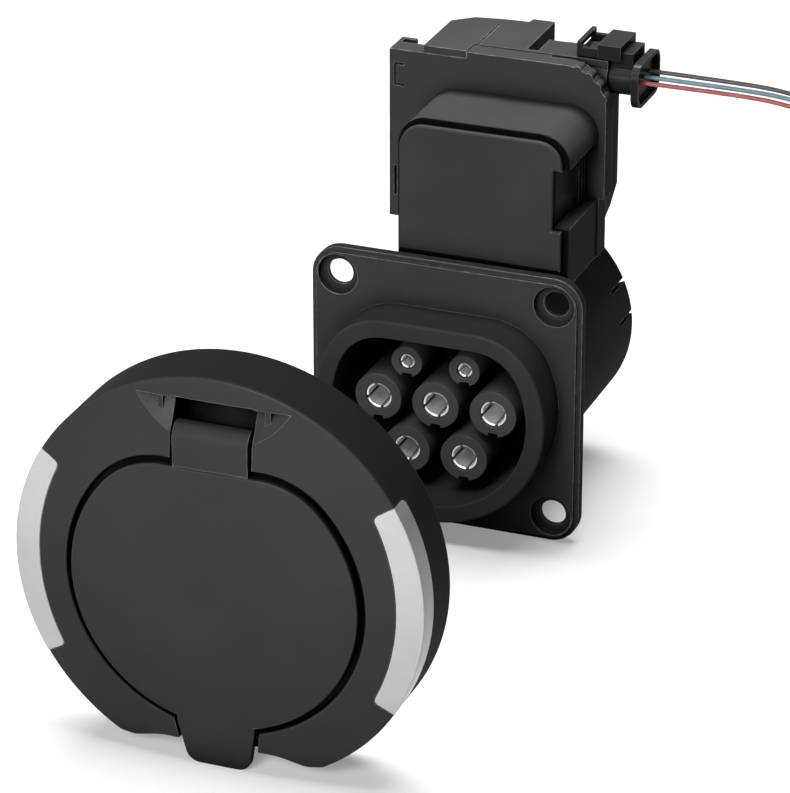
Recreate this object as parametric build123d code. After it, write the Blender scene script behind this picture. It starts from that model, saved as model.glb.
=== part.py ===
from build123d import *
import os
from math import acos, asin, atan2, ceil, cos, degrees, pi, radians, sin, sqrt, tan

# Charging socket with a locking actuator, its plug and leads, and its loose hinged cover.
# Origin: earth contact axis on the rear seating face of the flange. Mating side -Y, up +Z, millimetres.

# Shared clearances
fit_gap = 0.1
running_gap = 0.05
moving_gap = 0.3

# Contact pattern
contact_pitch = 16.0
lower_row_drop = 13.9
signal_row_rise = 11.2
power_pin_radius = 3.0
signal_pin_radius = 1.5
contact_wall = 1.0
signal_contact_wall = 0.8
contact_tip_wall = 0.5
signal_contact_tip_wall = 0.4
contact_tip_length = 8.0
entry_clearance = 0.7
signal_entry_clearance = 0.7
tower_wall = 2.75
signal_tower_wall = 2.05
tower_front_y = -10.3
tower_notch_width = 2.7
tower_notch_depth = 1.0
tower_notch_length = 3.0
contact_recess = 0.6
contact_mouth_chamfer = 0.25
contact_slot_width = 0.9
signal_contact_slot_width = 0.5
contact_slot_angle = 15.0
contact_slot_length = 16.0
contact_bore_length = 20.0
contact_collar_overhang = 1.0
contact_collar_thickness = 2.0
barrel_length = 14.0
barrel_cup_depth = 9.0
barrel_cup_wall = 0.9

# Flange
flange_width = 75.0
flange_corner = 8.0
flange_border_thickness = 2.6
flange_raise = 1.0
flange_border_width = 1.3
fixing_pitch = 60.0
fixing_hole_radius = 3.5
fixing_recess_radius = 5.6
fixing_recess_depth = 2.3

# D-shaped collar and its cavity
collar_radius = 31.8
collar_centre_z = 0.3
collar_flat_z = 24.3
collar_corner = 18.0
collar_wall = 4.9
collar_inner_corner = 13.0
collar_length = 12.2
collar_rim_round = 0.8
collar_inner_round = 0.5
cavity_depth = 20.0

# Round rear body
body_radius = 31.5
body_wall = 2.5
body_length = 58.4
tongue_length = 10.0
tongue_angles = (15.4, 164.6, 270.0)
tongue_span = 17.3
tongue_slot = 1.0
snap_groove_depth = 0.8
snap_groove_width = 2.0
snap_setback = 6.0

# Saddle for the actuator
saddle_depth = 0.5
saddle_half_width = 15.0
saddle_front_y = 5.0
saddle_rear_y = 36.2

# Carrier base, retainer and rear cap
carrier_base_thickness = 4.0
retainer_thickness = 3.0
rear_cap_thickness = 2.0
rear_cap_wall = 1.6
cable_opening_radius = 23.0
cable_lip_length = 4.0
cable_lip_wall = 1.4

# Actuator case
case_left_x = -17.0
case_right_x = 30.1
case_front_y = 6.8
case_rear_y = 29.9
case_top_z = 72.9
case_corner = 8.0
case_wall = 1.8
case_recess_x = 26.3
case_recess_low_z = 47.4
case_recess_high_z = 64.0
case_skirt_top_z = 36.3
case_rib_count = 3
case_rib_width = 0.8
case_rib_height = 0.9

# Actuator front cover
cover_side_inset = 1.0
cover_right_inset = 1.4
cover_top_inset = 1.3
cover_face_y = 4.4
cover_plate = 1.5
cover_edge_round = 0.7
cover_spigot_wall = 1.4
cover_spigot_depth = 2.0

# Actuator frame
frame_left_x = -28.4
frame_right_x = 32.0
frame_low_z = 34.4
frame_left_top_z = 81.7
frame_top_z = 83.5
frame_step_x = -6.8
frame_corner = 11.5
frame_plate = 1.8
frame_rim = 1.6
frame_depth = 5.9
frame_shoulder_inset = 1.5
frame_return_depth = 9.6
frame_return_wall = 1.2
frame_hook_reach = 4.4
frame_hook_height = 9.0
frame_bracket_left_x = -27.1
frame_bracket_right_x = -24.3
frame_bracket_low_z = 71.6
frame_bracket_high_z = 78.1
frame_bracket_line = 0.7
frame_bracket_depth = 0.6
frame_slot_x = -26.7
frame_slot_low_z = 40.4
frame_slot_high_z = 48.8
frame_slot_width = 0.8
corner_rib_count = 4
corner_rib_radius = 1.2
corner_rib_reach = 0.6

# Actuator rear housing
rear_left_x = -18.8
rear_right_x = 30.3
rear_low_z = 34.9
rear_top_z = 83.8
rear_wall = 1.6
rear_short_y = 45.9
rear_long_y = 56.6
rear_tail_y = 59.4
rear_tail_width = 6.5
trough_left_x = 7.5
trough_right_x = 10.7
trough_front_y = 37.0
trough_floor_z = 74.6
rear_corner = 6.0
rear_taper_z = 46.2
rear_taper_inset = 3.4
step_line_x = -6.0
step_line_width = 0.5
step_line_depth = 0.3

# Plug socket on the rear housing, and the plug
plug_y = 42.8
plug_z = 78.2
plug_barrel_width = 13.6
plug_barrel_height = 9.0
shroud_wall = 1.1
shroud_back_x = 16.0
shroud_floor = 2.0
plug_front_x = 19.0
plug_barrel_end_x = 37.5
plug_plate = 2.0
plug_plate_front_y = 33.0
plug_plate_rear_y = 52.0
plug_plate_low_z = 71.8
plug_plate_high_z = 84.0
plug_plate_corner = 4.0
plug_cup_wall = 1.0
plug_cup_depth = 1.3
plug_block_left_x = 27.3
plug_block_right_x = 33.7
plug_block_front_y = 35.9
plug_block_rear_y = 48.5
plug_block_top_z = 88.0
plug_step_right_x = 36.7
plug_step_top_z = 86.0
latch_front_x = 21.5
latch_bar = 1.2
latch_height = 2.4
latch_front_height = 3.9
latch_low_bar = 0.9
catch_length = 2.0
catch_width = 6.0
catch_height = 1.2
header_pin_radius = 0.5
header_pin_length = 9.0
lead_pitch = 4.6
lead_radius = 0.6
lead_coil_radius = 6.5
lead_coil_thickness = 1.9

# Locking bolt and rack
bolt_radius = 2.5
bolt_y = 13.0
bolt_tip_z = 20.2
bolt_stroke = 8.0
rack_width = 6.0
rack_back_x = -3.0
rack_thickness = 5.0
rack_low_z = 44.0
rack_top_z = 63.0
rack_module = 1.0
guide_height = 4.5
guide_wall = 1.8
guide_collar = 1.2
seal_height = 1.6
rack_post_thickness = 4.0
rack_post_top_z = 62.6

# Gear train
pinion_teeth = 12
pinion_width = 5.0
wheel_teeth = 30
drive_teeth = 10
wheel_module = 0.8
wheel_width = 5.0
wheel_front_y = 21.5
wheel_web = 2.0
wheel_rim = 1.8
gear_backlash = 0.26
gear_z = 50.0
shaft_radius = 1.5
bearing_wall = 1.8
bearing_length = 4.0
motor_angle = 135.0
motor_shaft_radius = 1.0

# Motor
motor_radius = 9.0
motor_flat = 7.4
motor_length = 19.0
motor_boss_radius = 3.0
motor_boss_height = 1.2
motor_seat_wall = 1.5
terminal_width = 2.2
terminal_thickness = 0.5
terminal_length = 3.0

# Circuit board and position switch
board_thickness = 1.6
board_left_x = -8.5
board_right_x = 22.0
board_low_z = 63.8
board_high_z = 70.6
board_post_width = 3.0
switch_length = 12.8
switch_height = 5.0
switch_depth = 5.8
plunger_radius = 1.0
plunger_length = 1.0

# Screws
case_screw_radius = 1.2
case_screw_length = 11.0
case_screw_head_radius = 2.6
case_screw_head_height = 1.6
case_boss_radius = 3.0
case_boss_inset = 2.6
saddle_screw_x = 11.0
saddle_screw_y = 11.5
saddle_screw_radius = 1.4
saddle_screw_length = 9.0

# Loose cover
ring_x = -4.5
ring_z = 11.7
ring_front_y = -143.6
ring_radius = 52.0
ring_wall = 2.0
ring_depth = 17.0
dome_radius = 320.0
ring_edge_round = 0.6
cover_border = 14.0
lid_centre_drop = 1.4
lid_top_drop = 6.7
lid_corner = 22.0
lid_edge_gap = 1.6
lid_edge_round = 0.4
hole_edge_round = 0.5
lid_proud = 0.7
lid_wall = 2.0
ledge_width = 4.5
ledge_setback = 1.5
ledge_thickness = 1.5
ledge_wall = 2.0
seal_width = 1.8
seal_edge_inset = 1.2
hinge_half_width = 9.45
hinge_side_gap = 0.85
hinge_axis_inset = 15.6
hinge_axis_y = 4.6
hinge_pin_radius = 1.0
hinge_barrel_wall = 1.2
hinge_lug_width = 4.0
hinge_lug_wall = 0.6
hinge_tab_bend_inset = 15.4
hinge_tab_bend = 3.75
hinge_tab_wall = 2.85
hinge_spring_half_width = 4.4
window_top_inset = 5.5
pocket_depth = 11.0
pocket_wall = 1.5
scoop_radius = 58.4
scoop_setback = 51.1
scoop_rise = 21.3
scoop_ledge_inset = 5.8
segment_angle = 31.3
segment_shift = 6.7
segment_wrap = 6.3
segment_gap = 0.15
segment_corner = 1.5
segment_tip_round = 1.5
notch_outer_half_width = 24.5
notch_half_width = 15.0
notch_z = -43.4
notch_corner_cut = 2.4
notch_inner_round = 18.0
notch_outer_round = 5.0
pull_tab_top_half_width = 10.0
pull_tab_low_half_width = 7.8
pull_tab_low_z = -49.2
pull_tab_top_z = -30.0
pull_tab_gap = 1.0
pull_tab_corner = 3.5
cover_boss_radius = 4.2
insert_radius = 2.9
insert_bore_radius = 2.1
insert_length = 6.0
spring_wire_radius = 0.3
spring_turns = 5
lid_rib_width = 1.5
lid_rib_height = 1.8
lid_rib_inset = 2.0


def xz_plane(y):
    """Plane seen from the front: sketch x is X, sketch y is Z."""
    return Plane(origin=(0, y, 0), x_dir=(1, 0, 0), z_dir=(0, -1, 0))


def prism_y(sketch, y_front, y_back):
    return extrude(xz_plane(y_back) * sketch, y_back - y_front)


def prism_x(sketch, x_left, x_right):
    """Sketch x is Y and sketch y is Z."""
    plane = Plane(origin=(x_left, 0, 0), x_dir=(0, 1, 0), z_dir=(1, 0, 0))
    return extrude(plane * sketch, x_right - x_left)


def prism_z(sketch, z_low, z_high):
    return extrude(Plane(origin=(0, 0, z_low)) * sketch, z_high - z_low)


def block(x0, x1, y0, y1, z0, z1):
    middle = Pos((x0 + x1) / 2, (y0 + y1) / 2, (z0 + z1) / 2)
    return middle * Box(x1 - x0, y1 - y0, z1 - z0)


def rod_y(radius, y_front, y_back, x=0.0, z=0.0):
    return prism_y(Pos(x, z) * Circle(radius), y_front, y_back)


def rod_x(radius, x_left, x_right, y, z):
    return prism_x(Pos(y, z) * Circle(radius), x_left, x_right)


def rod_z(radius, z_low, z_high, x, y):
    return prism_z(Pos(x, y) * Circle(radius), z_low, z_high)


def outline(points):
    return make_face(Polyline(*points, close=True))


def whole(shape):
    """The single solid of a finished piece."""
    solids = shape.solids()
    return solids[0] if len(solids) == 1 else Compound(children=list(solids))


# Contact positions by node name
power_contacts = {
    "contact_pe": (0.0, 0.0),
    "contact_n": (-contact_pitch, 0.0),
    "contact_l1": (contact_pitch, 0.0),
    "contact_l2": (contact_pitch / 2, -lower_row_drop),
    "contact_l3": (-contact_pitch / 2, -lower_row_drop),
}
signal_contacts = {
    "contact_cp": (contact_pitch / 2, signal_row_rise),
    "contact_pp": (-contact_pitch / 2, signal_row_rise),
}

# Sizes that follow from the driving ones
flange_front_y = -flange_border_thickness - flange_raise
collar_front_y = flange_front_y - collar_length
collar_inner_radius = collar_radius - collar_wall
collar_inner_flat_z = collar_flat_z - collar_wall
body_bore = body_radius - body_wall
carrier_back_y = cavity_depth + carrier_base_thickness
saddle_z = body_radius - saddle_depth
retainer_back_y = carrier_back_y + retainer_thickness
cap_face_y = body_length - rear_cap_thickness
snap_y = body_length - snap_setback
power_seat_radius = power_pin_radius + contact_wall
signal_seat_radius = signal_pin_radius + signal_contact_wall
frame_back_y = case_rear_y + frame_depth
frame_plate_y = case_rear_y + frame_plate
rack_pitch_x = rack_back_x + rack_thickness
pinion_radius = pinion_teeth * rack_module / 2
gear_x = rack_pitch_x + pinion_radius
wheel_radius = wheel_teeth * wheel_module / 2
drive_radius = drive_teeth * wheel_module / 2
motor_x = gear_x + (wheel_radius + drive_radius) * cos(radians(motor_angle))
motor_z = gear_z + (wheel_radius + drive_radius) * sin(radians(motor_angle))
case_floor_z = saddle_z + case_wall
case_screw_points = (
    (case_left_x + case_wall + case_boss_inset, case_floor_z + case_boss_inset),
    (case_right_x - case_wall - case_boss_inset, case_floor_z + case_boss_inset),
    (case_recess_x - case_boss_inset, case_top_z - case_wall - case_boss_inset),
)


def fixing_points():
    half = fixing_pitch / 2
    return [(sx * half, sz * half) for sx in (-1, 1) for sz in (-1, 1)]


def d_profile(radius, flat_z, corner):
    """Circle with a flat top and rounded upper corners."""
    face = Pos(0, collar_centre_z) * Circle(radius)
    face -= Pos(0, flat_z + radius) * Rectangle(2 * radius, 2 * radius)
    return fillet(face.vertices().group_by(Axis.Y)[-1], corner)


def tongue_slots():
    """Parallel slots that free three snap tongues at the rear edge."""
    cuts = []
    reach = tongue_slot + 2 * body_wall
    for angle in tongue_angles:
        for side in (-1, 1):
            turn = radians(angle + side * tongue_span / 2)
            middle = Pos(body_radius * cos(turn), body_radius * sin(turn))
            slot = middle * Rot(0, 0, degrees(turn)) * Rectangle(2 * reach, tongue_slot)
            cuts.append(prism_y(slot, body_length - tongue_length, body_length + 1))
    return cuts


def socket_housing():
    flange = prism_y(RectangleRounded(flange_width, flange_width, flange_corner), -flange_border_thickness, 0)
    raised_width = flange_width - 2 * flange_border_width
    raised = RectangleRounded(raised_width, raised_width, flange_corner - flange_border_width)
    body = flange + prism_y(raised, flange_front_y, -flange_border_thickness)
    collar = prism_y(d_profile(collar_radius, collar_flat_z, collar_corner), collar_front_y, 0)
    rim = collar.faces().sort_by(Axis.Y)[0].outer_wire().edges()
    collar = fillet(rim, collar_rim_round)
    body += collar
    body += rod_y(body_radius, 0, body_length)
    saddle_low = collar_inner_flat_z - 1
    body += block(-saddle_half_width, saddle_half_width, 0, saddle_rear_y, saddle_low, saddle_z)
    crown = body_radius + 1
    body -= block(-case_right_x, case_right_x, saddle_front_y, saddle_rear_y, saddle_z, crown)
    cavity = prism_y(d_profile(collar_inner_radius, collar_inner_flat_z, collar_inner_corner), collar_front_y,
                     cavity_depth)
    body -= cavity
    body -= rod_y(body_bore, cavity_depth, body_length)
    body -= rod_y(body_bore + snap_groove_depth, snap_y, snap_y + snap_groove_width)
    for slot in tongue_slots():
        body -= slot
    for x, z in fixing_points():
        body -= rod_y(fixing_hole_radius, flange_front_y, 0, x, z)
        body -= rod_y(fixing_recess_radius, flange_front_y, flange_front_y + fixing_recess_depth, x, z)
    body -= rod_z(bolt_radius + fit_gap, collar_inner_flat_z - 2, saddle_z, 0, bolt_y)
    body -= rod_z(bolt_radius + guide_wall, saddle_z - seal_height, saddle_z, 0, bolt_y)
    for side in (-1, 1):
        depth = saddle_screw_length - case_wall + 1
        body -= rod_z(saddle_screw_radius + fit_gap, saddle_z - depth, saddle_z, side * saddle_screw_x, saddle_screw_y)
    lip = body.edges().filter_by_position(Axis.Y, collar_front_y - 0.01, collar_front_y + 0.01)
    inner_lip = [e for e in lip if e.bounding_box().max.Z < collar_inner_flat_z + 0.01]
    return whole(fillet(inner_lip, collar_inner_round))


def contact_carrier():
    """Round base that holds the contacts' collars."""
    base = rod_y(body_bore - fit_gap, cavity_depth, carrier_back_y)
    for contacts, seat in ((power_contacts, power_seat_radius), (signal_contacts, signal_seat_radius)):
        for x, z in contacts.values():
            collar = seat + contact_collar_overhang
            base -= rod_y(seat + fit_gap, cavity_depth, carrier_back_y, x, z)
            base -= rod_y(collar + fit_gap, carrier_back_y - contact_collar_thickness, carrier_back_y, x, z)
    return whole(base)


def contact_tower(x, z, pin, clearance, wall, seat):
    """Round tower in front of the base, with the key notch under its mouth."""
    outer = pin + clearance + wall
    step_y = tower_front_y + contact_recess + contact_tip_length
    tower = rod_y(outer, tower_front_y, cavity_depth, x, z)
    tower -= rod_y(pin + clearance, tower_front_y, step_y, x, z)
    tower -= rod_y(seat + fit_gap, step_y, cavity_depth, x, z)
    edge = z - outer
    tower -= block(x - tower_notch_width / 2, x + tower_notch_width / 2, tower_front_y,
                   tower_front_y + tower_notch_length, edge - 1, edge + tower_notch_depth)
    return tower.solids()[0]


def contact_towers():
    groups = (
        (power_contacts, power_pin_radius, entry_clearance, tower_wall, power_seat_radius),
        (signal_contacts, signal_pin_radius, signal_entry_clearance, signal_tower_wall, signal_seat_radius),
    )
    towers = [contact_tower(x, z, *sizes) for contacts, *sizes in groups for x, z in contacts.values()]
    return Compound(children=towers)


def contact(x, z, pin, wall, tip_wall, slot_width):
    """Slotted sleeve with a locating collar and a conductor barrel behind it."""
    outer = pin + wall
    front = tower_front_y + contact_recess
    barrel_end = carrier_back_y + barrel_length
    barrel = outer - 0.4 * wall
    solid = rod_y(pin + tip_wall, front, front + contact_tip_length + fit_gap, x, z)
    solid += rod_y(outer, front + contact_tip_length + fit_gap, carrier_back_y, x, z)
    solid += rod_y(outer + contact_collar_overhang, carrier_back_y - contact_collar_thickness, carrier_back_y, x, z)
    solid += rod_y(barrel, carrier_back_y, barrel_end, x, z)
    solid -= rod_y(pin, front, front + contact_bore_length, x, z)
    mouth = [e for e in solid.faces().sort_by(Axis.Y)[0].inner_wires()[0].edges()]
    solid = chamfer(mouth, contact_mouth_chamfer)
    solid -= rod_y(barrel - barrel_cup_wall, barrel_end - barrel_cup_depth, barrel_end, x, z)
    for turn in (contact_slot_angle, contact_slot_angle + 90):
        slot = Pos(x, z) * Rot(0, 0, turn) * Rectangle(4 * outer, slot_width)
        solid -= prism_y(slot, front, front + contact_slot_length)
    return whole(solid)


def contact_retainer():
    plate = rod_y(body_bore - fit_gap, carrier_back_y, retainer_back_y)
    for x, z in power_contacts.values():
        plate -= rod_y(power_seat_radius, carrier_back_y, retainer_back_y, x, z)
    for x, z in signal_contacts.values():
        plate -= rod_y(signal_seat_radius, carrier_back_y, retainer_back_y, x, z)
    return whole(plate)


def rear_cap():
    """Snap-in ring with a lipped opening for the cable."""
    radius = body_bore - fit_gap
    cap = rod_y(radius, retainer_back_y, body_length)
    cap -= rod_y(radius - rear_cap_wall, retainer_back_y, cap_face_y)
    lip_front = body_length - cable_lip_length
    cap += rod_y(cable_opening_radius + cable_lip_wall, lip_front, body_length)
    cap -= rod_y(cable_opening_radius, lip_front, body_length)
    bump = rod_y(body_bore + snap_groove_depth - fit_gap * 2, snap_y + fit_gap, snap_y + snap_groove_width - fit_gap)
    bump -= rod_y(radius - fit_gap, snap_y, snap_y + snap_groove_width)
    for angle in tongue_angles:
        turn = radians(angle)
        reach = Pos(body_bore * cos(turn), body_bore * sin(turn)) * Rot(0, 0, angle) * Rectangle(6, 6)
        cap += bump & prism_y(reach, snap_y, snap_y + snap_groove_width)
    return whole(cap)


def case_outline(inset):
    """Front outline of the case, with its side recess; inset moves every wall inward."""
    left = case_left_x + inset
    right = case_right_x - inset
    low = saddle_z + inset
    top = case_top_z - inset
    face = Pos((left + right) / 2, (low + top) / 2) * Rectangle(right - left, top - low)
    face = fillet(face.vertices().group_by(Axis.Y)[-1], case_corner - inset)
    deep = case_recess_x - inset
    low_recess = case_recess_low_z - inset
    high_recess = case_recess_high_z + inset
    recess = Pos((deep + right) / 2 + 1, (low_recess + high_recess) / 2)
    face -= recess * Rectangle(right - deep + 2, high_recess - low_recess)
    return face


def actuator_case():
    wall = prism_y(case_outline(0) - case_outline(case_wall), case_front_y, case_rear_y)
    skirt = block(case_left_x + case_wall, case_right_x - case_wall, case_front_y, case_front_y + case_wall,
                  saddle_z, case_skirt_top_z)
    case = wall + skirt
    for x, z in case_screw_points:
        case += rod_y(case_boss_radius, case_rear_y - case_screw_length, case_rear_y, x, z)
    post_back = rack_back_x - moving_gap
    case += block(post_back - rack_post_thickness, post_back, bolt_y - rack_width / 2, bolt_y + rack_width / 2,
                  saddle_z, rack_post_top_z)
    board_back = bolt_y + rack_width / 2 + board_thickness
    for x in (board_left_x, board_right_x - board_post_width):
        case += block(x, x + board_post_width, board_back, board_back + board_post_width, board_low_z,
                      case_top_z - case_wall / 2)
    for number in range(case_rib_count):
        y = case_rear_y - 1.5 - number * 2.2
        case += block(case_recess_x - 0.2, case_recess_x + case_rib_height, y - case_rib_width, y,
                      case_recess_low_z, case_recess_high_z)
    for x, z in case_screw_points:
        case -= rod_y(case_screw_radius + fit_gap, case_rear_y - case_screw_length + 1, case_rear_y, x, z)
    case -= rod_z(bolt_radius + guide_wall + fit_gap, saddle_z, case_floor_z, 0, bolt_y)
    case -= rod_z(bolt_radius + guide_wall + guide_collar + fit_gap, case_floor_z, saddle_z + guide_height + fit_gap,
                  0, bolt_y)
    for side in (-1, 1):
        case -= rod_z(saddle_screw_radius + fit_gap, saddle_z, case_floor_z, side * saddle_screw_x, saddle_screw_y)
    return whole(case)


def actuator_cover():
    left = case_left_x + cover_side_inset
    right = case_right_x - cover_right_inset
    top = case_top_z - cover_top_inset
    face = Pos((left + right) / 2, (case_skirt_top_z + top) / 2) * Rectangle(right - left, top - case_skirt_top_z)
    face = fillet(face.vertices().group_by(Axis.Y)[-1], case_corner - cover_top_inset)
    recess_width = right - case_recess_x + 1
    recess_middle = (case_recess_low_z + case_recess_high_z) / 2
    recess = Pos(case_recess_x + recess_width / 2, recess_middle)
    face -= recess * Rectangle(recess_width, case_recess_high_z - case_recess_low_z)
    plate = prism_y(face, cover_face_y, cover_face_y + cover_plate)
    plate = fillet(plate.faces().sort_by(Axis.Y)[0].outer_wire().edges(), cover_edge_round)
    seat = case_outline(case_wall + fit_gap)
    inner = case_outline(case_wall + fit_gap + cover_spigot_wall)
    above = Pos(0, case_skirt_top_z + fit_gap + case_top_z / 2) * Rectangle(4 * case_top_z, case_top_z)
    above_inner = Pos(0, cover_spigot_wall) * above
    spigot = (seat & above) - (inner & above_inner)
    plate += prism_y(spigot, cover_face_y + cover_plate, case_front_y + cover_spigot_depth)
    boss_radius = shaft_radius + bearing_wall
    boss_end = cover_face_y + cover_plate + bearing_length
    plate += rod_y(boss_radius, cover_face_y + cover_plate, boss_end, gear_x, gear_z)
    plate -= rod_y(shaft_radius + running_gap, cover_face_y + cover_plate, boss_end, gear_x, gear_z)
    return whole(plate)


def frame_outline(inset):
    left = frame_left_x + inset
    step = frame_step_x + inset
    shoulder = frame_right_x - frame_shoulder_inset - inset
    right = frame_right_x - inset
    points = [
        (left, frame_low_z + inset), (case_left_x + inset, frame_low_z + inset),
        (case_left_x + inset, saddle_z + inset), (shoulder, saddle_z + inset),
        (shoulder, case_recess_low_z + inset), (right, case_recess_low_z + inset),
        (right, frame_top_z - inset), (step, frame_top_z - inset),
        (step, frame_left_top_z - inset), (left, frame_left_top_z - inset),
    ]
    face = outline(points)
    corner = face.vertices().sort_by_distance((right, frame_top_z - inset, 0))[0]
    return fillet(corner, frame_corner - inset)


def actuator_frame():
    frame = prism_y(frame_outline(0), case_rear_y, frame_plate_y)
    frame += prism_y(frame_outline(0) - frame_outline(frame_rim), frame_plate_y, frame_back_y)
    wall_back = case_rear_y + frame_return_depth
    frame += block(frame_left_x, frame_left_x + frame_return_wall, frame_back_y - 1, wall_back,
                   frame_low_z, frame_left_top_z)
    hook_front = wall_back - frame_return_wall
    frame += block(frame_left_x, frame_left_x + frame_hook_reach, hook_front, wall_back,
                   frame_left_top_z - frame_hook_height, frame_left_top_z)
    groove_back = case_rear_y + frame_bracket_depth
    bracket = block(frame_bracket_left_x, frame_bracket_right_x, case_rear_y, groove_back,
                    frame_bracket_low_z, frame_bracket_high_z)
    bracket -= block(frame_bracket_left_x + frame_bracket_line, frame_bracket_right_x + 1, case_rear_y, groove_back,
                     frame_bracket_low_z + frame_bracket_line, frame_bracket_high_z - frame_bracket_line)
    frame -= bracket
    frame -= block(frame_slot_x - frame_slot_width / 2, frame_slot_x + frame_slot_width / 2, case_rear_y,
                   frame_plate_y, frame_slot_low_z, frame_slot_high_z)
    centre_x = frame_right_x - frame_corner
    centre_z = frame_top_z - frame_corner
    rib_circle = frame_corner - corner_rib_radius + corner_rib_reach
    for number in range(corner_rib_count):
        turn = radians(90 * (number + 1) / (corner_rib_count + 1))
        rib_x = centre_x + rib_circle * cos(turn)
        rib_z = centre_z + rib_circle * sin(turn)
        frame += rod_y(corner_rib_radius, case_rear_y, frame_back_y - 2, rib_x, rib_z)
    seat_outer = motor_radius + fit_gap + motor_seat_wall
    seat = rod_y(seat_outer, frame_plate_y, frame_back_y, motor_x, motor_z)
    seat -= rod_y(motor_radius + fit_gap, frame_plate_y, frame_back_y, motor_x, motor_z)
    frame += seat
    boss_front = case_rear_y - 1
    frame += rod_y(shaft_radius + bearing_wall, boss_front, frame_plate_y, gear_x, gear_z)
    frame -= rod_y(shaft_radius + running_gap, boss_front, frame_plate_y, gear_x, gear_z)
    frame -= rod_y(motor_boss_radius + fit_gap, case_rear_y, frame_plate_y, motor_x, motor_z)
    for x, z in case_screw_points:
        frame -= rod_y(case_screw_radius + fit_gap, case_rear_y, frame_plate_y, x, z)
    shroud_low = plug_z - plug_barrel_height / 2 - shroud_wall - fit_gap * 3
    shroud_front = plug_y - plug_barrel_width / 2 - shroud_wall - fit_gap * 3
    frame -= block(shroud_back_x - 1, frame_right_x + 1, shroud_front, frame_back_y + 1, shroud_low, frame_top_z + 1)
    return whole(frame)


def stadium(width, height):
    """Oval with straight top and bottom, drawn in Y and Z at the plug axis."""
    return Pos(plug_y, plug_z) * SlotOverall(width, height)


def rear_plan(inset):
    """Plan outline of the rear housing: a deep motor bay on the left, a shallow bay on the right."""
    left = rear_left_x + inset
    right = rear_right_x - inset
    tail_right = trough_left_x - inset
    tail_left = trough_left_x - rear_tail_width + inset
    long_y = rear_long_y - inset
    short_y = rear_short_y - inset
    tail_y = rear_tail_y - inset
    points = [
        (left, frame_back_y), (left, long_y - rear_corner), (left + rear_corner - 0.9, long_y - 1.3),
        (step_line_x, long_y), (tail_left, long_y + 0.4), (tail_left + 0.5, tail_y), (tail_right, tail_y),
        (tail_right, short_y), (right, short_y), (right, frame_back_y),
    ]
    return outline(points)


def rear_front(inset):
    """Front outline of the rear housing, tapered at the lower right."""
    left = rear_left_x + inset
    right = rear_right_x - inset
    low = rear_low_z + inset
    top = rear_top_z - inset
    middle_z = (rear_taper_z + rear_low_z) / 2 - 1
    points = [
        (left, low), (right - rear_taper_inset, low), (right - rear_taper_inset / 2, middle_z),
        (right, rear_taper_z), (right, top), (left, top),
    ]
    return outline(points)


def rear_form(inset):
    form = prism_z(rear_plan(inset), rear_low_z + inset, rear_top_z - inset)
    form &= prism_y(rear_front(inset), frame_back_y, rear_tail_y)
    form -= block(trough_left_x - inset, trough_right_x + inset, trough_front_y - inset, rear_tail_y + 1,
                  trough_floor_z - inset, rear_top_z + 1)
    return form


def actuator_rear_housing():
    bore = stadium(plug_barrel_width + 2 * fit_gap, plug_barrel_height + 2 * fit_gap)
    shell = stadium(plug_barrel_width + 2 * shroud_wall, plug_barrel_height + 2 * shroud_wall)
    shroud = prism_x(shell, shroud_back_x, rear_right_x)
    housing = rear_form(0) - rear_form(rear_wall)
    housing += shroud
    top_of_lip = frame_left_top_z
    housing += block(rear_left_x, frame_step_x, case_rear_y, frame_back_y, top_of_lip, rear_top_z)
    housing -= prism_x(bore, shroud_back_x + shroud_floor, rear_right_x + 1)
    for number in (-1, 0, 1):
        y = plug_y + number * lead_pitch
        housing -= rod_x(header_pin_radius + running_gap, shroud_back_x, shroud_back_x + shroud_floor, y, plug_z)
    catch_left = latch_front_x + latch_bar + 0.5
    housing += block(catch_left, catch_left + catch_length, plug_y - catch_width / 2, plug_y + catch_width / 2,
                     rear_top_z - 0.2, rear_top_z + catch_height)
    housing -= block(step_line_x, step_line_x + step_line_width, case_rear_y, rear_long_y - 4,
                     rear_top_z - step_line_depth, rear_top_z)
    return whole(housing)


def plug_housing():
    barrel = prism_x(stadium(plug_barrel_width, plug_barrel_height), plug_front_x, plug_barrel_end_x)
    plate_mid_y = (plug_plate_front_y + plug_plate_rear_y) / 2
    plate_mid_z = (plug_plate_low_z + plug_plate_high_z) / 2
    plate = Pos(plate_mid_y, plate_mid_z) * RectangleRounded(
        plug_plate_rear_y - plug_plate_front_y, plug_plate_high_z - plug_plate_low_z, plug_plate_corner)
    plate_end = plug_barrel_end_x + plug_plate
    plug = barrel + prism_x(plate, plug_barrel_end_x, plate_end)
    cup_floor = Pos(plate_mid_y, plate_mid_z) * RectangleRounded(
        plug_plate_rear_y - plug_plate_front_y - 2 * plug_cup_wall,
        plug_plate_high_z - plug_plate_low_z - 2 * plug_cup_wall, plug_plate_corner - plug_cup_wall)
    plug -= prism_x(cup_floor, plate_end - plug_cup_depth, plate_end)
    block_low = rear_top_z + moving_gap
    plug += block(plug_block_left_x, plug_block_right_x, plug_block_front_y, plug_block_rear_y,
                  block_low, plug_block_top_z)
    step = block(rear_right_x + moving_gap, plug_step_right_x, plug_block_front_y + 1.5, plug_block_rear_y - 1.5,
                 plug_z, plug_step_top_z)
    plug += step
    for number in (-1, 0, 1):
        y = plug_y + number * lead_pitch
        reach = shroud_back_x + header_pin_length + 1
        plug -= rod_x(header_pin_radius + fit_gap, plug_front_x, reach, y, plug_z)
    return whole(plug)


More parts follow.
